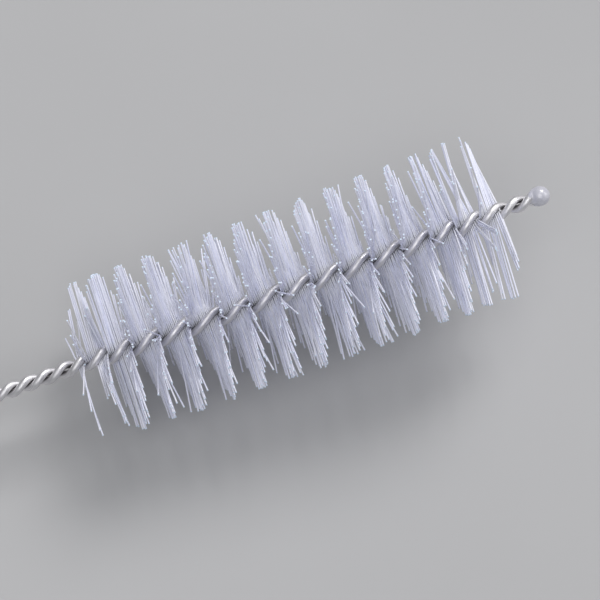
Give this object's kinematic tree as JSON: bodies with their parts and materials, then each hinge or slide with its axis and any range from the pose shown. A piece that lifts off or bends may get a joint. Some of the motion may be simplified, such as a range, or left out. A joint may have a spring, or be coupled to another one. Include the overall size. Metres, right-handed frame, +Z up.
{
  "type": "test tube brush",
  "caption": "Small twisted-wire test tube brush: spiral of stiff white nylon bristles on a two-strand steel stem, a smooth bead at the tip and a hanging loop at the handle end.",
  "frame": {"origin": "middle of the footprint, on the surface that the lying brush rests on", "axes": "+X along the brush from the hanging loop towards the bead, +Z up from the table, +Y across"},
  "size_m": [0.2034, 0.026, 0.0308],
  "materials": {
    "steel_wire": "drawn wire, lightly polished",
    "nylon_bristle": "clear bluish white nylon filament",
    "resin_bead": "soft gloss resin"
  },
  "bodies": {
    "root": {"bristle_row_01": "nylon_bristle", "bristle_row_02": "nylon_bristle", "bristle_row_03": "nylon_bristle", "bristle_row_04": "nylon_bristle", "bristle_row_05": "nylon_bristle", "bristle_row_06": "nylon_bristle", "bristle_row_07": "nylon_bristle", "bristle_row_08": "nylon_bristle", "bristle_row_09": "nylon_bristle", "bristle_row_10": "nylon_bristle", "bristle_row_11": "nylon_bristle", "bristle_row_12": "nylon_bristle", "bristle_row_13": "nylon_bristle", "bristle_row_14": "nylon_bristle", "bristle_row_15": "nylon_bristle", "tip_bead": "resin_bead", "twisted_wire": "steel_wire"}
  },
  "joints": []
}
